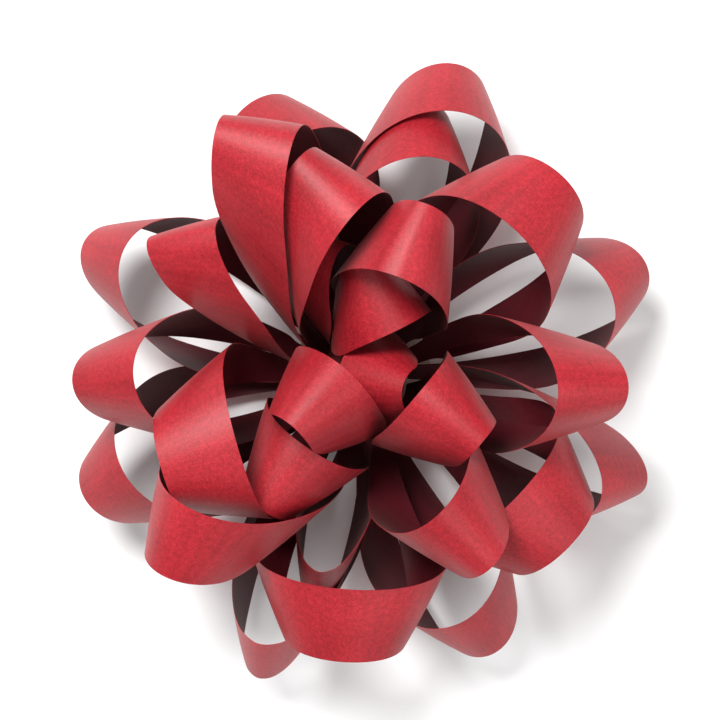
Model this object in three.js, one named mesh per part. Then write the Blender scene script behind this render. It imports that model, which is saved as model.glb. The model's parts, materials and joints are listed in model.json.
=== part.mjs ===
// Pre-made gift bow: loops of satin ribbon folded over a centre stack, stapled to a card disc
// with a peel-off adhesive pad. Millimetres, +Z up.
// The origin is the middle of the release liner's underside, which the bow rests on.
import * as THREE from 'three';

const { clamp, degToRad, lerp, smoothstep } = THREE.MathUtils;

// Ribbon. It narrows towards the stack, where its legs are gathered, and a loop's two ends leave
// the stack one above the other.
const RIBBON_WIDTH = 19;
const RIBBON_THICKNESS = 0.12;
const GATHER_START = 0.45;
const GATHERED_WIDTH = 3.5;
const END_RISE = 0.5;

// Cross-sections of a loop's mesh. The middle ones follow the cone's rulings and the rest square off
// the ends, the last of them this far from the middle of the outer edge.
const LOOP_SEGMENTS = 22;
const RULED_SHARE = 18 / 22;
const LAST_SECTION = 2;

// The angle that the flat ribbon turns through, on each side of a loop's tip, seen from its cone's point.
const FAN = degToRad(67.5);

// Layers of the base, from the surface up. Flat layers lie this close together, and others keep a gap.
const LAYER_GAP = 0.06;
const GAP = 0.3;
const LINER_RADIUS = 15.5;
const LINER_THICKNESS = 0.2;
const TAB_WIDTH = 11;
const TAB_REACH = 25;
const PAD_RADIUS = 14.5;
const PAD_THICKNESS = 1.6;
const CARD_RADIUS = 18;
const CARD_THICKNESS = 0.8;
const PAD_BOTTOM = LINER_THICKNESS + LAYER_GAP;
const CARD_BOTTOM = PAD_BOTTOM + PAD_THICKNESS + LAYER_GAP;

// Staple through the stack and the card. The loops start on the rim around the stack.
const STAPLE_WIDTH = 11;
const STAPLE_WIRE = 0.6;
const STAPLE_TIP_GAP = 1.6;
const STACK_BOTTOM = CARD_BOTTOM + CARD_THICKNESS + GAP;
const STACK_HEIGHT = 10;
const STACK_RADIUS = 11;
const RIM = STACK_RADIUS + 1;

// Loops by tier, from the bottom up. A tier has its loops' size, which is how far a loop's cone point
// is from the middle of its ribbon, and each loop its wished turn in degrees and reach from the centre.
// Outside the outermost tier, each tier starts higher up the stack.
const TIER_PITCH = 1.8;
const TIERS = [
  ['outer', 36, [[112, 76], [72, 76], [21, 77], [-20, 78], [-60, 76], [250, 78], [206, 76], [158, 76]]],
  ['second', 37, [[92, 67], [52, 68], [-2, 63], [-39, 67], [-82, 68], [226, 65], [184, 68], [134, 67]]],
  ['third', 34, [[157, 58], [203, 53], [250, 57], [-61, 53], [32, 55], [108, 54]]],
  ['fourth', 30, [[70, 43], [142, 42], [232, 41], [-27, 40]]],
  ['top', 27, [[100, 27], [215, 20], [-10, 10]]],
];

// How the loops settle: each of these may leave its wish by this much below and above, in steps up to
// this size, of this unit, and at this price for its square.
const FREEDOM = {
  turn: { below: 16, above: 16, step: 4, unit: 1, price: 0.015 },
  reach: { below: 8, above: 8, step: 2, unit: 1, price: 0.03 },
  size: { below: 9, above: 3, step: 1.6, unit: 1, price: 0.03 },
  tall: { below: 0.6, above: 0.8, step: 0.4, unit: 0.1, price: 0.6 },
  lean: { below: 60, above: 30, step: 10, unit: 1, price: 0.0005 },
  shift: { below: 45, above: 45, step: 12, unit: 1, price: 0.0006 },
  level: { below: 9, above: 9, step: 2, unit: 0.1, price: 0.003 },
};
const MOVES = ['lean', 'lean', 'lean', 'turn', 'turn', 'reach', 'reach', 'size', 'level', 'tall', 'shift'];
const WISH = { tall: 1.4, lean: 15, shift: 0 };
const FRESH_CHANCE = 0.1;
const BIG_MOVE_CHANCE = 0.25;
const BIG_MOVE = 3;
const LOWEST_RISE = degToRad(-4);
const LOWEST_POINT = 1.8;
const TIP_SPACING = 22;
const TIP_PRICE = 0.03;
const CROSSING_PRICE = 3;
const PIERCED_PRICE = 1.5;
const STACK_PRICE = 3;
const START_HEAT = 1.6;
const END_HEAT = 0.02;
const ROUNDS = 260000;
const SEED = 10;

// The rulings of a cone, as directions from its point: its axis is +X and its tall side is +Z.
// A length along this curve on the unit sphere is an angle on the flat ribbon.
class Rulings extends THREE.Curve {
  constructor(tall, fullFan) {
    super();
    this.tall = tall;
    this.spread = 1;
    for (let pass = 0; pass < 5; pass++) {
      this.spread *= fullFan / this.getLength();
      this.updateArcLengths();
    }
  }

  getPoint(t, target = new THREE.Vector3()) {
    const round = 2 * Math.PI * (t - 0.5);
    const breadth = this.spread * Math.cos(round);
    const height = this.tall * this.spread * Math.sin(round);
    const offAxis = this.tall * this.spread ** 2 / Math.hypot(breadth, height);
    return target.set(
      Math.cos(offAxis),
      Math.sin(offAxis) * Math.sin(round),
      Math.sin(offAxis) * Math.cos(round),
    );
  }
}

// How far along the flat ribbon, from its middle, a cross-section of the mesh meets one of its edges.
// Sections follow the rulings, and then swing round to square off the end.
function alongEdge(section, toPoint, size, halfLength) {
  const steepest = Math.atan((halfLength - LAST_SECTION) / (size + RIBBON_WIDTH / 2));
  const side = Math.sign(section);
  const out = Math.abs(section);
  if (out <= RULED_SHARE) return side * toPoint * Math.tan(steepest * out / RULED_SHARE);
  const share = (out - RULED_SHARE) / (1 - RULED_SHARE);
  return side * lerp(toPoint * Math.tan(steepest), halfLength, share);
}

// The shape of a loop in its own frame: the rim around the stack is at the origin, +X runs out along
// the loop's lowest line to the cone's point, and the loop stands above that line.
class LoopShape {
  constructor(size, tall) {
    this.size = size;
    this.rulings = new Rulings(tall, 2 * FAN);
    this.outwards = this.rulings.getPointAt(0).negate();
    this.upwards = new THREE.Vector3(-this.outwards.z, 0, this.outwards.x);
    if (this.upwards.z < 0) this.upwards.negate();
    this.halfLength = size * Math.tan(FAN) - RIM - GAP;
    const tip = this.point(0, -0.5, 0);
    this.tipAway = Math.hypot(tip.x, tip.z);
    this.tipRise = Math.atan2(tip.z, tip.x);
    this.edges = [-0.5, 0.5].flatMap((across) => {
      return Array.from({ length: LOOP_SEGMENTS + 1 }, (_, i) => this.point(i / LOOP_SEGMENTS - 0.5, across, 0));
    });
  }

  // A point of the ribbon: along it and across it from -0.5 to 0.5, and this far out of its middle layer.
  point(section, across, height) {
    const gathered = smoothstep(2 * Math.abs(section), GATHER_START, 1);
    const toPoint = this.size + across * lerp(RIBBON_WIDTH, GATHERED_WIDTH, gathered);
    const along = alongEdge(2 * section, toPoint, this.size, this.halfLength);
    const angle = Math.atan2(along, toPoint);
    const onCone = clamp(angle, -FAN, FAN);
    const share = 0.5 + onCone / (2 * FAN);
    const ruling = this.rulings.getPointAt(share).normalize();
    const tangent = this.rulings.getTangentAt(share);
    tangent.addScaledVector(ruling, -tangent.dot(ruling)).normalize();
    const normal = new THREE.Vector3().crossVectors(tangent, ruling);
    if (normal.x > 0) normal.negate();
    const beyond = angle - onCone;
    const place = ruling.multiplyScalar(Math.cos(beyond)).addScaledVector(tangent, Math.sin(beyond));
    place.multiplyScalar(Math.hypot(along, toPoint)).addScaledVector(normal, height);
    return new THREE.Vector3(
      this.size / Math.cos(FAN) + place.dot(this.outwards) - RIM,
      place.y,
      place.dot(this.upwards) + END_RISE * section,
    );
  }

  geometry() {
    const geometry = new THREE.BoxGeometry(1, 1, 1, LOOP_SEGMENTS, 1, 1);
    const positions = geometry.attributes.position;
    for (let i = 0; i < positions.count; i++) {
      const section = Math.round(positions.getX(i) * LOOP_SEGMENTS) / LOOP_SEGMENTS;
      const place = this.point(section, positions.getY(i), positions.getZ(i) * RIBBON_THICKNESS);
      positions.setXYZ(i, place.x, place.y, place.z);
    }
    geometry.computeVertexNormals();
    return geometry;
  }
}

const shapes = new Map();
function shapeOf({ size, tall }) {
  const key = `${size} ${tall}`;
  if (!shapes.has(key)) shapes.set(key, new LoopShape(size, tall));
  return shapes.get(key);
}

// Where a loop stands: its foot is on the rim, and it is turned, leaned, and raised until its tip has
// its reach. A loop that can't stand so gives null.
function standing(loop) {
  const { tipAway, tipRise } = shapeOf(loop);
  const rise = Math.acos((loop.reach - RIM) / tipAway) - tipRise;
  const onStack = loop.level >= GAP && loop.level <= STACK_HEIGHT - GAP;
  if (!(rise > LOWEST_RISE) || !onStack) return null;
  const attitude = new THREE.Euler(degToRad(loop.lean), -rise, degToRad(loop.turn), 'ZYX');
  const foot = degToRad(loop.turn + loop.shift);
  const matrix = new THREE.Matrix4().makeRotationFromEuler(attitude);
  return matrix.setPosition(RIM * Math.cos(foot), RIM * Math.sin(foot), STACK_BOTTOM + loop.level);
}

// ---- Settling. The loops start at their wishes and are moved about, one small move at a time, until
// no ribbon crosses another and they differ little from their wishes.

// The corners of each stretch between two cross-sections, as places in a ribbon's list of coordinates:
// the three lines and two triangles that are tried against another stretch.
const RIGHT_EDGE = 3 * (LOOP_SEGMENTS + 1);
const STRETCHES = Array.from({ length: LOOP_SEGMENTS }, (_, i) => {
  const [a, b, c, d] = [3 * i, 3 * i + 3, RIGHT_EDGE + 3 * i, RIGHT_EDGE + 3 * i + 3];
  return { corners: [a, b, c, d], lines: [[a, c], [a, b], [c, d]], triangles: [[a, c, b], [c, d, b]] };
});

const ALL_CORNERS = STRETCHES.flatMap(({ corners }) => corners);

function boxAround(points, corners, box = [Infinity, Infinity, Infinity, -Infinity, -Infinity, -Infinity]) {
  for (const corner of corners) {
    for (let axis = 0; axis < 3; axis++) {
      box[axis] = Math.min(box[axis], points[corner + axis]);
      box[3 + axis] = Math.max(box[3 + axis], points[corner + axis]);
    }
  }
  return box;
}

function boxesMeet(a, b) {
  return a[0] - GAP <= b[3] && b[0] - GAP <= a[3] && a[1] - GAP <= b[4] && b[1] - GAP <= a[4]
    && a[2] - GAP <= b[5] && b[2] - GAP <= a[5];
}

// The middle layer of a loop's ribbon where it stands, and how much of it is in the stack's space.
function placeRibbon(loop) {
  const matrix = standing(loop);
  if (!matrix) return null;
  const points = new Float64Array(2 * RIGHT_EDGE);
  const corner = new THREE.Vector3();
  shapeOf(loop).edges.forEach((place, i) => corner.copy(place).applyMatrix4(matrix).toArray(points, 3 * i));
  const boxes = STRETCHES.map(({ corners }) => boxAround(points, corners));
  const box = boxAround(points, ALL_CORNERS);
  if (box[2] < LOWEST_POINT) return null;
  const middle = 3 * LOOP_SEGMENTS / 2;
  const tip = [0, 1, 2].map((axis) => (points[middle + axis] + points[RIGHT_EDGE + middle + axis]) / 2);
  return { points, boxes, box, tip, inStack: inStack(points) };
}

function inStack(points) {
  const top = STACK_BOTTOM + STACK_HEIGHT + STAPLE_WIRE;
  let count = 0;
  for (let i = 0; i < RIGHT_EDGE; i += 3) {
    for (let share = 0; share <= 1; share += 0.25) {
      const z = lerp(points[i + 2], points[RIGHT_EDGE + i + 2], share);
      if (z > top) continue;
      const x = lerp(points[i], points[RIGHT_EDGE + i], share);
      const y = lerp(points[i + 1], points[RIGHT_EDGE + i + 1], share);
      const clear = z < STACK_BOTTOM ? CARD_RADIUS + GAP : STACK_RADIUS + 2 * GAP;
      if (Math.hypot(x, y) < clear) count++;
    }
  }
  return count;
}

// Whether the line between two of a ribbon's points passes through a triangle of another's.
function pierces(a, line, b, triangle) {
  const from = line[0], to = line[1], p = triangle[0], q = triangle[1], r = triangle[2];
  const px = b[p], py = b[p + 1], pz = b[p + 2];
  const dx = a[to] - a[from], dy = a[to + 1] - a[from + 1], dz = a[to + 2] - a[from + 2];
  const ux = b[q] - px, uy = b[q + 1] - py, uz = b[q + 2] - pz;
  const vx = b[r] - px, vy = b[r + 1] - py, vz = b[r + 2] - pz;
  const nx = dy * vz - dz * vy, ny = dz * vx - dx * vz, nz = dx * vy - dy * vx;
  const size = ux * nx + uy * ny + uz * nz;
  const sx = a[from] - px, sy = a[from + 1] - py, sz = a[from + 2] - pz;
  const alongU = (sx * nx + sy * ny + sz * nz) / size;
  if (!(alongU >= -0.01 && alongU <= 1.01)) return false;
  const mx = sy * uz - sz * uy, my = sz * ux - sx * uz, mz = sx * uy - sy * ux;
  const alongV = (dx * mx + dy * my + dz * mz) / size;
  if (alongV < -0.01 || alongU + alongV > 1.01) return false;
  const alongLine = (vx * mx + vy * my + vz * mz) / size;
  return alongLine >= -0.02 && alongLine <= 1.02;
}

function countPierced(a, b, stretchA, stretchB) {
  const [one, other] = stretchB.triangles;
  let count = 0;
  for (const line of stretchA.lines) {
    if (pierces(a, line, b, one) || pierces(a, line, b, other)) count++;
  }
  return count;
}

// How often the edges and cross-sections of two ribbons pass through each other.
function countCrossings(a, b) {
  if (!boxesMeet(a.box, b.box)) return 0;
  let count = 0;
  for (let i = 0; i < LOOP_SEGMENTS; i++) {
    if (!boxesMeet(a.boxes[i], b.box)) continue;
    for (let j = 0; j < LOOP_SEGMENTS; j++) {
      if (!boxesMeet(a.boxes[i], b.boxes[j])) continue;
      count += countPierced(a.points, b.points, STRETCHES[i], STRETCHES[j]);
      count += countPierced(b.points, a.points, STRETCHES[j], STRETCHES[i]);
    }
  }
  return count;
}

// What it costs that two loops stand as they do.
function clashPrice(a, b) {
  const apart = Math.hypot(a.tip[0] - b.tip[0], a.tip[1] - b.tip[1], a.tip[2] - b.tip[2]);
  const crowding = TIP_PRICE * Math.max(0, TIP_SPACING - apart) ** 2;
  const crossings = countCrossings(a, b);
  return crowding + (crossings ? CROSSING_PRICE + PIERCED_PRICE * crossings : 0);
}

function changePrice(loop, wish) {
  let price = 0;
  for (const key of Object.keys(FREEDOM)) price += FREEDOM[key].price * (loop[key] - wish[key]) ** 2;
  return price;
}

const sum = (list) => list.reduce((total, value) => total + value, 0);

// Numbers from 0 to 1 that look random but are the same each time.
function makeRandom(seed) {
  let state = seed * 7919 + 13;
  return () => {
    state = (state * 1664525 + 1013904223) >>> 0;
    return state / 2 ** 32;
  };
}

function changed(loop, wish, key, amount) {
  const { below, above, unit } = FREEDOM[key];
  const value = Math.round((loop[key] + amount) / unit) * unit;
  return { ...loop, [key]: clamp(value, wish[key] - below, wish[key] + above) };
}

// A loop moved a little in one way or, now and then, set down afresh somewhere around its wish.
function movedLoop(loop, wish, random) {
  if (random() < FRESH_CHANCE) {
    const spread = 3 * random();
    return Object.keys(FREEDOM).reduce((fresh, key) => {
      return changed(fresh, wish, key, spread * (2 * random() - 1) * FREEDOM[key].step);
    }, wish);
  }
  const key = MOVES[Math.floor(random() * MOVES.length)];
  const far = random() < BIG_MOVE_CHANCE ? BIG_MOVE : 1;
  return changed(loop, wish, key, far * (2 * random() - 1) * FREEDOM[key].step);
}

function settle(wishes) {
  const random = makeRandom(SEED);
  const loops = wishes.map((wish) => ({ ...wish }));
  const ribbons = loops.map((loop) => {
    while (!placeRibbon(loop)) loop.reach -= 1;
    return placeRibbon(loop);
  });
  const clashes = ribbons.map((a, i) => ribbons.map((b, j) => (i === j ? 0 : clashPrice(a, b))));
  const own = (loop, ribbon, i) => changePrice(loop, wishes[i]) + STACK_PRICE * ribbon.inStack;
  let price = sum(loops.map((loop, i) => own(loop, ribbons[i], i) + sum(clashes[i]) / 2));
  let best = { price, loops: [...loops] };

  for (let round = 0; round < ROUNDS; round++) {
    const heat = START_HEAT * (1 - round / ROUNDS) ** 2 + END_HEAT;
    let i = Math.floor(random() * loops.length);
    for (let pick = 0; pick < 3 && sum(clashes[i]) === 0; pick++) i = Math.floor(random() * loops.length);
    const loop = movedLoop(loops[i], wishes[i], random);
    const ribbon = placeRibbon(loop);
    if (!ribbon) continue;
    const row = ribbons.map((other, j) => (i === j ? 0 : clashPrice(ribbon, other)));
    const change = sum(row) - sum(clashes[i]) + own(loop, ribbon, i) - own(loops[i], ribbons[i], i);
    if (change > 0 && random() > Math.exp(-change / heat)) continue;
    loops[i] = loop;
    ribbons[i] = ribbon;
    row.forEach((value, j) => {
      clashes[i][j] = value;
      clashes[j][i] = value;
    });
    price += change;
    if (price < best.price) best = { price, loops: [...loops] };
  }
  return best.loops;
}

// The loops without those that still cross one below them.
function leaveOutCrossing(loops) {
  const kept = [];
  for (const loop of loops) {
    const ribbon = placeRibbon(loop);
    if (kept.every((other) => countCrossings(ribbon, other.ribbon) === 0)) kept.push({ loop, ribbon });
  }
  return kept.map(({ loop }) => loop);
}

// ---- The pieces of the base.

function disc(radius) {
  return new THREE.Shape().absarc(0, 0, radius, 0, 2 * Math.PI);
}

// A flat layer: an outline raised from its underside.
function layer(name, outline, bottom, thickness, material) {
  const geometry = new THREE.ExtrudeGeometry(outline, { depth: thickness, bevelEnabled: false, curveSegments: 24 });
  const mesh = new THREE.Mesh(geometry, material);
  mesh.name = name;
  mesh.position.z = bottom;
  return mesh;
}

// The two holes that the staple's legs pass through.
function punchStapleHoles(outline) {
  const middle = (STAPLE_WIDTH - STAPLE_WIRE) / 2;
  const radius = STAPLE_WIRE / Math.SQRT2 + GAP;
  for (const x of [-middle, middle]) {
    outline.holes.push(new THREE.Path().absarc(x, 0, radius, 0, 2 * Math.PI, true));
  }
  return outline;
}

// Release liner: a disc with a straight-sided tab that a finger takes hold of.
function makeLiner() {
  const half = TAB_WIDTH / 2;
  const corner = Math.asin(half / LINER_RADIUS);
  const outline = new THREE.Shape();
  outline.absarc(0, 0, LINER_RADIUS, corner, 2 * Math.PI - corner);
  outline.lineTo(TAB_REACH - half, -half);
  outline.absarc(TAB_REACH - half, 0, half, -Math.PI / 2, Math.PI / 2);
  const paper = new THREE.MeshStandardMaterial({ color: 0xf1efe8, roughness: 0.5, metalness: 0 });
  return layer('release_liner', outline, 0, LINER_THICKNESS, paper);
}

// Foam pad: a slot across it makes room for the staple's folded ends.
function makePad() {
  const half = STAPLE_WIDTH / 2 + GAP;
  const slot = STAPLE_WIRE / 2 + GAP;
  const outline = disc(PAD_RADIUS);
  outline.holes.push(new THREE.Path([
    new THREE.Vector2(-half, -slot),
    new THREE.Vector2(-half, slot),
    new THREE.Vector2(half, slot),
    new THREE.Vector2(half, -slot),
  ]));
  const foam = new THREE.MeshStandardMaterial({ color: 0xf4f2ec, roughness: 0.9, metalness: 0 });
  return layer('adhesive_pad', outline, PAD_BOTTOM, PAD_THICKNESS, foam);
}

function makeCard() {
  const card = new THREE.MeshStandardMaterial({ color: 0xd8d2c4, roughness: 0.85, metalness: 0 });
  return layer('base_card', punchStapleHoles(disc(CARD_RADIUS)), CARD_BOTTOM, CARD_THICKNESS, card);
}

// The crossings of the ribbon, pressed together on top of each other.
function makeStack() {
  const outline = punchStapleHoles(disc(STACK_RADIUS));
  return layer('centre_stack', outline, STACK_BOTTOM, STACK_HEIGHT, new THREE.MeshStandardMaterial(ribbon));
}

// Staple: a bent wire whose ends are folded in under the card.
function makeStaple() {
  const half = STAPLE_WIDTH / 2;
  const inner = half - STAPLE_WIRE;
  const tip = STAPLE_TIP_GAP / 2;
  const bottom = CARD_BOTTOM - LAYER_GAP - STAPLE_WIRE;
  const top = STACK_BOTTOM + STACK_HEIGHT + LAYER_GAP + STAPLE_WIRE;
  const outline = new THREE.Shape([
    new THREE.Vector2(tip, bottom),
    new THREE.Vector2(half, bottom),
    new THREE.Vector2(half, top),
    new THREE.Vector2(-half, top),
    new THREE.Vector2(-half, bottom),
    new THREE.Vector2(-tip, bottom),
    new THREE.Vector2(-tip, bottom + STAPLE_WIRE),
    new THREE.Vector2(-inner, bottom + STAPLE_WIRE),
    new THREE.Vector2(-inner, top - STAPLE_WIRE),
    new THREE.Vector2(inner, top - STAPLE_WIRE),
    new THREE.Vector2(inner, bottom + STAPLE_WIRE),
    new THREE.Vector2(tip, bottom + STAPLE_WIRE),
  ]);
  const geometry = new THREE.ExtrudeGeometry(outline, { depth: STAPLE_WIRE, bevelEnabled: false });
  const steel = new THREE.MeshStandardMaterial({ color: 0xb8babd, roughness: 0.35, metalness: 1 });
  const mesh = new THREE.Mesh(geometry, steel);
  mesh.name = 'staple';
  mesh.rotation.x = Math.PI / 2;
  mesh.position.y = STAPLE_WIRE / 2;
  return mesh;
}

// ---- The bow.

const ribbon = { color: 0xc4202e, roughness: 0.45, metalness: 0 };
const bow = new THREE.Group();
bow.add(makeLiner(), makePad(), makeCard(), makeStack(), makeStaple());

const wishes = TIERS.flatMap(([tier, size, tips], above) => tips.map(([turn, reach], i) => {
  return { ...WISH, name: `loop_${tier}_${i + 1}`, turn, reach, size, level: TIER_PITCH * (above + 0.5) };
}));
leaveOutCrossing(settle(wishes)).forEach((loop) => {
  const mesh = new THREE.Mesh(shapeOf(loop).geometry(), new THREE.MeshStandardMaterial(ribbon));
  mesh.name = loop.name;
  mesh.applyMatrix4(standing(loop));
  bow.add(mesh);
});

export default bow;
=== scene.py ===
"""A pre-made gift bow of satin ribbon on a card base, seen from straight above on a pale floor."""
import json
import math

import bmesh
import bpy
import numpy as np
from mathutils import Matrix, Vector


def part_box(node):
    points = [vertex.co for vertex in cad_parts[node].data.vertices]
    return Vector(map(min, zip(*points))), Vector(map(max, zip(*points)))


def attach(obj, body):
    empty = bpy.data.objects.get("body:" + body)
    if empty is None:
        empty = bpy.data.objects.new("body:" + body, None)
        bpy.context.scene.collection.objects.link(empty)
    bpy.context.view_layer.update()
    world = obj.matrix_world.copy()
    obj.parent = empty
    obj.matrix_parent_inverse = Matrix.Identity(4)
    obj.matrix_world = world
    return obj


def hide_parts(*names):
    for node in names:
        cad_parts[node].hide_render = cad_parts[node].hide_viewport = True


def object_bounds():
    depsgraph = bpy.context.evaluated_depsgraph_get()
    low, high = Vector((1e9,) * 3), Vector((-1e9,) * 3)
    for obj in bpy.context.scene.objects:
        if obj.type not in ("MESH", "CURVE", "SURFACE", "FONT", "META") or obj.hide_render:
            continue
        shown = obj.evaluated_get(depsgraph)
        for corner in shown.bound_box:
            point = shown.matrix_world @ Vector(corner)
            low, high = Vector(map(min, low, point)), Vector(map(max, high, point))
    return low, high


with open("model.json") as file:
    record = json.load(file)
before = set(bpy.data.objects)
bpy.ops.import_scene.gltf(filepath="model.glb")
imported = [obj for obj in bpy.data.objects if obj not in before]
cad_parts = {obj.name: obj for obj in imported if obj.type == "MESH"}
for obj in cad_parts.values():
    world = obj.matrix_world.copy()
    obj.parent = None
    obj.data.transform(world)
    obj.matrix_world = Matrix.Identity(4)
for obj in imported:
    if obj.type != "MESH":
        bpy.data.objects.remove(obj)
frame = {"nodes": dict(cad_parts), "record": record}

CAD_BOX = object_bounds()
NODES = frame["nodes"]
BODIES = frame["record"]["behaviour"]["bodies"]
BODY_OF = {node: body for body, nodes in BODIES.items() for node in nodes}

MM = 0.001

# Ribbon. Its middle stands this far above its long edges where it is widest.
RIBBON_WIDTH = 19 * MM
RIBBON_THICKNESS = 0.12 * MM
EDGE_CURL = 0.25 * MM

# A loop's mesh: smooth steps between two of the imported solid's points, and columns across the ribbon.
FINE_STEPS = 5
ACROSS = 8

# Ribbon between two loops, which the pattern along the ribbon skips.
SKIPPED_BETWEEN_LOOPS = 20 * MM

# Centre stack: ribbons on top of each other, each turned from the last and filling this share of its step.
STACK_PASSES = 30
STACK_TURN = math.radians(225)
STACK_FILL = 0.8
STACK_CORNERS = 40

# Foam pad. Its rim bulges by this, and its slot is this much longer than the staple and this wide.
PAD_BULGE = 0.35 * MM
PAD_AROUND = 96
PAD_ROWS = 9
SLOT_LONGER = 0.6 * MM
SLOT_WIDTH = 1.2 * MM

# Staple. Its folded ends stop this far from its middle, and its corners are cut this far from the corner.
STAPLE_TIP = 0.8 * MM
STAPLE_CORNER = 0.5 * MM

# Edges sharper than the first stay crisp, and edges sharper than the second bound a ribbon's layer.
CRISP_ANGLE = math.radians(50)
LAYER_ANGLE = math.radians(60)

# Floor, just under the bow, and what the lights point at.
FLOOR_SIZE = 6
FLOOR_GAP = 0.05 * MM
LIGHT_TARGET = (0, 0, 0.03)


# ------------------------------------------------------------- material helpers

def new_material(name):
    """A material, its shader and two helpers: one adds a node, and one joins two sockets."""
    material = bpy.data.materials.new(name)
    material.use_nodes = True
    tree = material.node_tree
    shader = tree.nodes["Principled BSDF"]

    def add(kind, **settings):
        node = tree.nodes.new(kind)
        for key, value in settings.items():
            setattr(node, key, value)
        return node

    return material, shader, add, tree.links.new


def noise(add, link, vector, scale, detail=3.0, roughness=0.5):
    node = add("ShaderNodeTexNoise")
    node.inputs["Scale"].default_value = scale
    node.inputs["Detail"].default_value = detail
    node.inputs["Roughness"].default_value = roughness
    link(vector, node.inputs["Vector"])
    return node.outputs["Fac"]


def ramp(add, link, factor, stops):
    """A colour ramp: stops are (position, linear colour)."""
    node = add("ShaderNodeValToRGB")
    elements = node.color_ramp.elements
    while len(elements) < len(stops):
        elements.new(0.5)
    for element, (position, colour) in zip(elements, stops):
        element.position = position
        element.color = (*colour, 1)
    link(factor, node.inputs["Fac"])
    return node.outputs["Color"]


def stretched(add, link, vector, scale):
    node = add("ShaderNodeMapping")
    node.inputs["Scale"].default_value = scale
    link(vector, node.inputs["Vector"])
    return node.outputs["Vector"]


def math_node(add, link, operation, a, b):
    node = add("ShaderNodeMath", operation=operation)
    for socket, value in zip(node.inputs, (a, b)):
        if isinstance(value, (int, float)):
            socket.default_value = value
        else:
            link(value, socket)
    return node.outputs["Value"]


def bump(add, link, height, strength, distance):
    node = add("ShaderNodeBump")
    node.inputs["Strength"].default_value = strength
    node.inputs["Distance"].default_value = distance
    link(height, node.inputs["Height"])
    return node.outputs["Normal"]


# ------------------------------------------------------------------- materials

def ribbon_material(name, dark, mid, light, roughness, grain_depth):
    """Satin ribbon: a fine speckled grain, soft streaks and slow changes of tone.

    The map is in metres, along and across the flat ribbon.
    """
    material, shader, add, link = new_material(name)
    flat = add("ShaderNodeUVMap", uv_map="flat").outputs["UV"]
    speckle = noise(add, link, flat, 2400, 3.0, 0.75)
    mottle = noise(add, link, flat, 900, 2.0, 0.5)
    streak = noise(add, link, stretched(add, link, flat, (420, 26, 1)), 1.0, 3.0, 0.6)
    slow = noise(add, link, flat, 55, 2.0)
    tone = 0.0
    for part, share in ((speckle, 0.46), (mottle, 0.20), (streak, 0.16), (slow, 0.18)):
        tone = math_node(add, link, "ADD", tone, math_node(add, link, "MULTIPLY", part, share))
    colour = ramp(add, link, tone, [(0.40, dark), (0.50, mid), (0.60, light)])
    link(colour, shader.inputs["Base Color"])
    rough = math_node(add, link, "MULTIPLY", speckle, 0.2)
    link(math_node(add, link, "ADD", rough, roughness - 0.1), shader.inputs["Roughness"])
    height = math_node(add, link, "ADD", speckle, math_node(add, link, "MULTIPLY", streak, 0.6))
    link(bump(add, link, height, 0.7, grain_depth), shader.inputs["Normal"])
    shader.inputs["Sheen Weight"].default_value = 0.06
    shader.inputs["Sheen Roughness"].default_value = 0.4
    shader.inputs["Sheen Tint"].default_value = (1.0, 0.62, 0.55, 1)
    shader.inputs["Specular IOR Level"].default_value = 0.4
    return material


def paper_material(name, base, fibre, roughness, scale, depth):
    """Card or paper: pulp fibres in the colour and a soft tooth."""
    material, shader, add, link = new_material(name)
    place = add("ShaderNodeTexCoord").outputs["Object"]
    fibres = noise(add, link, stretched(add, link, place, (1, 3, 1)), scale, 5.0, 0.65)
    colour = ramp(add, link, fibres, [(0.35, fibre), (0.62, base)])
    link(colour, shader.inputs["Base Color"])
    shader.inputs["Roughness"].default_value = roughness
    link(bump(add, link, fibres, 0.5, depth), shader.inputs["Normal"])
    return material


def foam_material():
    """Closed-cell foam: small rounded cells, with painted shade in their hollows."""
    material, shader, add, link = new_material("white_foam")
    place = add("ShaderNodeTexCoord").outputs["Object"]
    cells = add("ShaderNodeTexVoronoi")
    cells.inputs["Scale"].default_value = 2600
    link(place, cells.inputs["Vector"])
    distance = cells.outputs["Distance"]
    # Painted shade: each cell's colour darkens towards its middle, where the bump sinks it into a hollow.
    colour = ramp(add, link, distance, [(0.1, (0.62, 0.60, 0.55)), (0.6, (0.86, 0.85, 0.81))])
    link(colour, shader.inputs["Base Color"])
    shader.inputs["Roughness"].default_value = 0.9
    link(bump(add, link, distance, 0.6, 0.1 * MM), shader.inputs["Normal"])
    return material


def wire_material():
    """Drawn steel wire: fine scratches and a slightly dull surface."""
    material, shader, add, link = new_material("drawn_steel")
    place = add("ShaderNodeTexCoord").outputs["Object"]
    scratches = noise(add, link, stretched(add, link, place, (1, 8, 8)), 1500, 3.0, 0.6)
    colour = ramp(add, link, scratches, [(0.3, (0.35, 0.35, 0.37)), (0.7, (0.62, 0.62, 0.64))])
    link(colour, shader.inputs["Base Color"])
    shader.inputs["Metallic"].default_value = 1.0
    shader.inputs["Roughness"].default_value = 0.32
    link(bump(add, link, scratches, 0.3, 0.03 * MM), shader.inputs["Normal"])
    return material


FRONT = ribbon_material(
    "ribbon_front",
    dark=(0.21, 0.004, 0.009), mid=(0.33, 0.008, 0.016), light=(0.47, 0.017, 0.028),
    roughness=0.48, grain_depth=0.08 * MM,
)
BACK = ribbon_material(
    "ribbon_back",
    dark=(0.042, 0.001, 0.003), mid=(0.062, 0.002, 0.006), light=(0.085, 0.004, 0.009),
    roughness=0.52, grain_depth=0.04 * MM,
)
LINER_PAPER = paper_material(
    "liner_paper", base=(0.84, 0.83, 0.79), fibre=(0.76, 0.75, 0.70),
    roughness=0.38, scale=900, depth=0.03 * MM,
)
CARD = paper_material(
    "grey_card", base=(0.62, 0.57, 0.48), fibre=(0.46, 0.41, 0.33),
    roughness=0.85, scale=1400, depth=0.12 * MM,
)
FOAM = foam_material()
STEEL = wire_material()


# --------------------------------------------------------------- ribbon pieces

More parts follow.
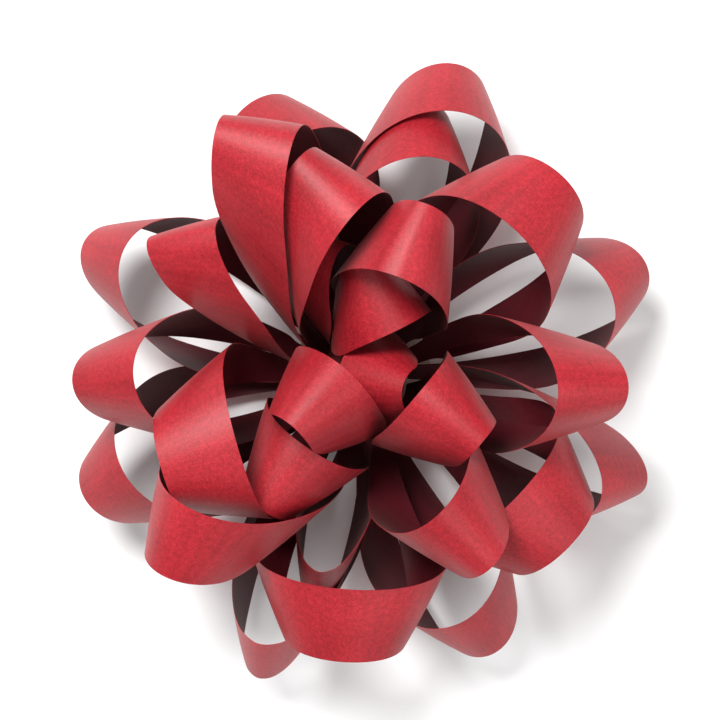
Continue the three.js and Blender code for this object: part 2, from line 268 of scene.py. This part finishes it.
def layer_from(face):
    """All the faces reached from this one without crossing a sharp edge."""
    found, waiting = {face}, [face]
    while waiting:
        for edge in waiting.pop().edges:
            if len(edge.link_faces) == 2 and edge.calc_face_angle() < LAYER_ANGLE:
                fresh = [near for near in edge.link_faces if near not in found]
                found.update(fresh)
                waiting.extend(fresh)
    return found


def front_outline(node):
    """The outline of the ribbon's front, the larger of its two layers, as points in order."""
    mesh = bmesh.new()
    mesh.from_mesh(NODES[node].data)
    bmesh.ops.remove_doubles(mesh, verts=mesh.verts, dist=0.1 * RIBBON_THICKNESS)
    left = set(mesh.faces)
    layers = []
    for face in mesh.faces:
        if face in left:
            layers.append(layer_from(face))
            left -= layers[-1]
    front = max(layers, key=lambda faces: sum(face.calc_area() for face in faces))
    beside = {}
    # In the mesh's own order, so that each run goes the same way round the outline.
    for face in (near for near in mesh.faces if near in front):
        for edge in face.edges:
            if sum(near in front for near in edge.link_faces) == 1:
                a, b = edge.verts
                beside.setdefault(a.index, []).append(b.index)
                beside.setdefault(b.index, []).append(a.index)
    mesh.verts.ensure_lookup_table()
    ring = [min(beside)]
    ring.append(beside[ring[0]][0])
    while True:
        onward = next(v for v in beside[ring[-1]] if v != ring[-2])
        if onward == ring[0]:
            break
        ring.append(onward)
    places = [mesh.verts[i].co.copy() for i in ring]
    mesh.free()
    return places


def rails_of(node):
    """The two long edges of a loop's ribbon, as matching points from one end to the other.

    The outline turns most at the ribbon's four corners, and an end is a pair of corners side by side.
    """
    places = front_outline(node)
    count = len(places)

    def turn(i):
        back = places[i] - places[i - 1]
        on = places[(i + 1) % count] - places[i]
        return back.angle(on)

    corners = sorted(sorted(range(count), key=turn)[-4:])
    half = count // 2
    first = next(c for c in corners if (c + 1) % count in corners)
    left = [places[(first - i) % count] for i in range(half)]
    right = [places[(first + 1 + i) % count] for i in range(half)]
    return left, right


def smooth_line(points, steps):
    """A Catmull-Rom curve through the points, with this many steps between each two."""
    places = np.array([tuple(p) for p in points])
    padded = np.vstack([2 * places[0] - places[1], places, 2 * places[-1] - places[-2]])
    line = []
    for i in range(1, len(padded) - 2):
        p0, p1, p2, p3 = padded[i - 1:i + 3]
        for step in range(steps):
            t = step / steps
            line.append(0.5 * (
                2 * p1 + (p2 - p0) * t + (2 * p0 - 5 * p1 + 4 * p2 - p3) * t * t
                + (3 * p1 - p0 - 3 * p2 + p3) * t ** 3
            ))
    line.append(places[-1])
    return np.array(line)


def ribbon_piece(name, left, right, start_along):
    """A strip of ribbon between two rails, with its front on the outside of the loop.

    Returns the piece and its length. The pattern along the ribbon starts at start_along.
    """
    a, b = smooth_line(left, FINE_STEPS), smooth_line(right, FINE_STEPS)
    middle = (a + b) / 2
    along = np.gradient(middle, axis=0)
    across = b - a
    normal = np.cross(along, across)
    normal /= np.linalg.norm(normal, axis=1, keepdims=True)
    peak = len(middle) // 2
    inside = middle.mean(axis=0) - middle[peak]
    if np.dot(normal[peak], inside) > 0:
        normal = -normal
    steps = np.linalg.norm(np.diff(middle, axis=0), axis=1)
    distance = start_along + np.concatenate([[0], np.cumsum(steps)])
    width = np.linalg.norm(across, axis=1)

    vertices, flat = [], []
    for side in (0.5, -0.5):
        for i in range(len(middle)):
            for j in range(ACROSS + 1):
                share = j / ACROSS
                bow = EDGE_CURL * (1 - (2 * share - 1) ** 2) * min(1, width[i] / RIBBON_WIDTH)
                lift = bow - EDGE_CURL / 2 + side * RIBBON_THICKNESS
                place = a[i] + across[i] * share + normal[i] * lift
                vertices.append(tuple(place))
                flat.append((distance[i], (share - 0.5) * width[i]))
    row = ACROSS + 1
    layer = len(middle) * row
    faces, slots = [], []

    def quad(corners, slot):
        faces.append(corners)
        slots.append(slot)

    for i in range(len(middle) - 1):
        for j in range(ACROSS):
            k = i * row + j
            quad((k, k + 1, k + 1 + row, k + row), 0)
            quad((layer + k, layer + k + row, layer + k + 1 + row, layer + k + 1), 1)
        k = i * row
        quad((k, k + row, layer + k + row, layer + k), 0)
        k += ACROSS
        quad((k, layer + k, layer + k + row, k + row), 0)
    for j in range(ACROSS):
        quad((j, layer + j, layer + j + 1, j + 1), 0)
        k = layer - row + j
        quad((k, k + 1, layer + k + 1, layer + k), 0)

    mesh = bpy.data.meshes.new(name)
    mesh.from_pydata(vertices, [], faces)
    mesh.materials.append(FRONT)
    mesh.materials.append(BACK)
    mesh.polygons.foreach_set("material_index", slots)
    mesh.polygons.foreach_set("use_smooth", [True] * len(faces))
    uv = mesh.uv_layers.new(name="flat")
    for loop in mesh.loops:
        uv.data[loop.index].uv = flat[loop.vertex_index]
    fixer = bmesh.new()
    fixer.from_mesh(mesh)
    bmesh.ops.recalc_face_normals(fixer, faces=fixer.faces)
    fixer.to_mesh(mesh)
    fixer.free()
    sharpen(mesh)
    piece = bpy.data.objects.new(name, mesh)
    bpy.context.scene.collection.objects.link(piece)
    return piece, distance[-1] - start_along


def sharpen(mesh):
    """Marks the edges that stay crisp, such as the ribbon's cut edges."""
    edges = bmesh.new()
    edges.from_mesh(mesh)
    for edge in edges.edges:
        edge.smooth = not (len(edge.link_faces) == 2 and edge.calc_face_angle(0) > CRISP_ANGLE)
    edges.to_mesh(mesh)
    edges.free()


def stand_for(node, piece):
    """Puts a piece on its node's body, in the node's stead."""
    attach(piece, BODY_OF[node])
    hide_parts(node)


def make_loops():
    travelled = 0.0
    for node in sorted(n for n in NODES if n.startswith("loop_")):
        left, right = rails_of(node)
        piece, length = ribbon_piece("ribbon_" + node, left, right, travelled)
        travelled += length + SKIPPED_BETWEEN_LOOPS
        stand_for(node, piece)


# ------------------------------------------------------------------------ base

def link_mesh(name, mesh, material):
    mesh.materials.append(material)
    piece = bpy.data.objects.new(name, mesh)
    bpy.context.scene.collection.objects.link(piece)
    return piece


def make_stack():
    """The crossings at the centre: short lengths of ribbon lying on each other."""
    low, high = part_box("centre_stack")
    radius = (high.x - low.x) / 2
    pitch = (high.z - low.z) / STACK_PASSES
    mesh = bmesh.new()
    flat = mesh.loops.layers.uv.new("flat")
    for k in range(STACK_PASSES):
        cos, sin = math.cos(STACK_TURN * k), math.sin(STACK_TURN * k)
        bottom = low.z + pitch * k
        rings = []
        for z in (bottom, bottom + STACK_FILL * pitch):
            ring = []
            for i in range(STACK_CORNERS):
                angle = 2 * math.pi * i / STACK_CORNERS
                x = radius * math.cos(angle)
                y = max(-RIBBON_WIDTH / 2, min(RIBBON_WIDTH / 2, radius * math.sin(angle)))
                ring.append(mesh.verts.new((x * cos - y * sin, x * sin + y * cos, z)))
            rings.append(ring)
        mesh.faces.new(rings[1])
        mesh.faces.new(list(reversed(rings[0])))
        for i in range(STACK_CORNERS):
            j = (i + 1) % STACK_CORNERS
            mesh.faces.new((rings[0][i], rings[0][j], rings[1][j], rings[1][i]))
    for face in mesh.faces:
        for loop in face.loops:
            loop[flat].uv = (loop.vert.co.x + loop.vert.co.z, loop.vert.co.y)
    data = bpy.data.meshes.new("ribbon_crossings")
    mesh.to_mesh(data)
    mesh.free()
    piece = link_mesh("ribbon_crossings", data, FRONT)
    stand_for("centre_stack", piece)


def finish_cad_node(node, material):
    """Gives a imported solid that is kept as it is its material."""
    piece = NODES[node]
    piece.data.materials.clear()
    piece.data.materials.append(material)


def make_pad():
    """The foam pad: a disc that bulges a little at its rim, with a slot for the staple's ends."""
    low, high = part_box("adhesive_pad")
    radius = (high.x - low.x) / 2
    middle = (low.z + high.z) / 2
    half = (high.z - low.z) / 2
    mesh = bmesh.new()
    rings = []
    for i in range(PAD_ROWS):
        lift = math.sin(math.pi * (i / (PAD_ROWS - 1) - 0.5))
        reach = radius - PAD_BULGE * lift * lift
        rings.append([
            mesh.verts.new((
                reach * math.cos(2 * math.pi * k / PAD_AROUND),
                reach * math.sin(2 * math.pi * k / PAD_AROUND),
                middle + half * lift,
            )) for k in range(PAD_AROUND)
        ])
    for lower, upper in zip(rings, rings[1:]):
        for k in range(PAD_AROUND):
            j = (k + 1) % PAD_AROUND
            mesh.faces.new((lower[k], lower[j], upper[j], upper[k]))
    mesh.faces.new(list(reversed(rings[0])))
    mesh.faces.new(rings[-1])
    data = bpy.data.meshes.new("foam_pad")
    mesh.to_mesh(data)
    mesh.free()
    piece = link_mesh("foam_pad", data, FOAM)
    staple_low, staple_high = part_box("staple")
    bpy.ops.mesh.primitive_cube_add(size=1, location=(0, 0, middle))
    cutter = bpy.context.object
    cutter.scale = (staple_high.x - staple_low.x + SLOT_LONGER, SLOT_WIDTH, 4 * half)
    cut = piece.modifiers.new("staple_slot", "BOOLEAN")
    cut.operation = "DIFFERENCE"
    cut.object = cutter
    bake_modifiers(piece)
    bpy.data.objects.remove(cutter)
    stand_for("adhesive_pad", piece)


def bake_modifiers(piece):
    """Replaces the piece's mesh with what its modifiers make of it."""
    bpy.context.view_layer.update()
    done = piece.evaluated_get(bpy.context.evaluated_depsgraph_get())
    data = bpy.data.meshes.new_from_object(done)
    piece.modifiers.clear()
    piece.data = data


def make_staple():
    """Round wire along the middle of the staple's bends."""
    low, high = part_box("staple")
    wire = (high.y - low.y) / 2
    left, right = low.x + wire, high.x - wire
    bottom, top = low.z + wire, high.z - wire
    corner, arc = STAPLE_CORNER, 0.3 * STAPLE_CORNER
    route = [
        (STAPLE_TIP, bottom),
        (right - corner, bottom), (right - arc, bottom + arc), (right, bottom + corner),
        (right, top - corner), (right - arc, top - arc), (right - corner, top),
        (left + corner, top), (left + arc, top - arc), (left, top - corner),
        (left, bottom + corner), (left + arc, bottom + arc), (left + corner, bottom),
        (-STAPLE_TIP, bottom),
    ]
    curve = bpy.data.curves.new("staple_wire", "CURVE")
    curve.dimensions = "3D"
    curve.bevel_depth = wire
    curve.bevel_resolution = 4
    curve.use_fill_caps = True
    spline = curve.splines.new("POLY")
    spline.points.add(len(route) - 1)
    for point, (x, z) in zip(spline.points, route):
        point.co = (x, 0, z, 1)
    curve.materials.append(STEEL)
    piece = bpy.data.objects.new("staple_wire", curve)
    bpy.context.scene.collection.objects.link(piece)
    stand_for("staple", piece)


# ----------------------------------------------------------------------- stage

def make_floor():
    bpy.ops.mesh.primitive_plane_add(size=FLOOR_SIZE, location=(0, 0, CAD_BOX[0][2] - FLOOR_GAP))
    floor = bpy.context.object
    floor.name = "floor"
    material, shader, add, link = new_material("pale_floor")
    place = add("ShaderNodeTexCoord").outputs["Object"]
    cloud = noise(add, link, place, 3.0)
    colour = ramp(add, link, cloud, [(0.3, (0.86, 0.86, 0.86)), (0.7, (0.90, 0.90, 0.90))])
    link(colour, shader.inputs["Base Color"])
    shader.inputs["Roughness"].default_value = 0.9
    floor.data.materials.append(material)


def add_area_light(name, place, size, power):
    """A round lamp that points at the bow."""
    light = bpy.data.lights.new(name, "AREA")
    light.shape = "DISK"
    light.size = size
    light.energy = power
    holder = bpy.data.objects.new(name, light)
    holder.location = place
    towards = Vector(LIGHT_TARGET) - Vector(place)
    holder.rotation_euler = towards.to_track_quat("-Z", "Y").to_euler()
    bpy.context.scene.collection.objects.link(holder)


def make_lights():
    """A soft key from the upper left, a wide fill from the right, and white light from all round."""
    add_area_light("key", (-0.30, 0.45, 0.95), size=0.45, power=15)
    add_area_light("fill", (0.6, -0.35, 0.9), size=0.9, power=5)
    world = bpy.data.worlds.new("studio")
    world.use_nodes = True
    background = world.node_tree.nodes["Background"]
    background.inputs["Color"].default_value = (1, 1, 1, 1)
    background.inputs["Strength"].default_value = 0.45
    bpy.context.scene.world = world


def make_camera():
    """Straight above, with the bow a little low of the middle."""
    camera = bpy.data.cameras.new("camera")
    camera.sensor_width = 36
    camera.lens = 134.8
    holder = bpy.data.objects.new("camera", camera)
    holder.location = (-0.0005, 0.0044, 0.7)
    bpy.context.scene.collection.objects.link(holder)
    bpy.context.scene.camera = holder


make_camera()
make_loops()
make_stack()
make_pad()
make_staple()
finish_cad_node("base_card", CARD)
finish_cad_node("release_liner", LINER_PAPER)
make_floor()
make_lights()
bpy.context.scene.view_settings.view_transform = "Standard"
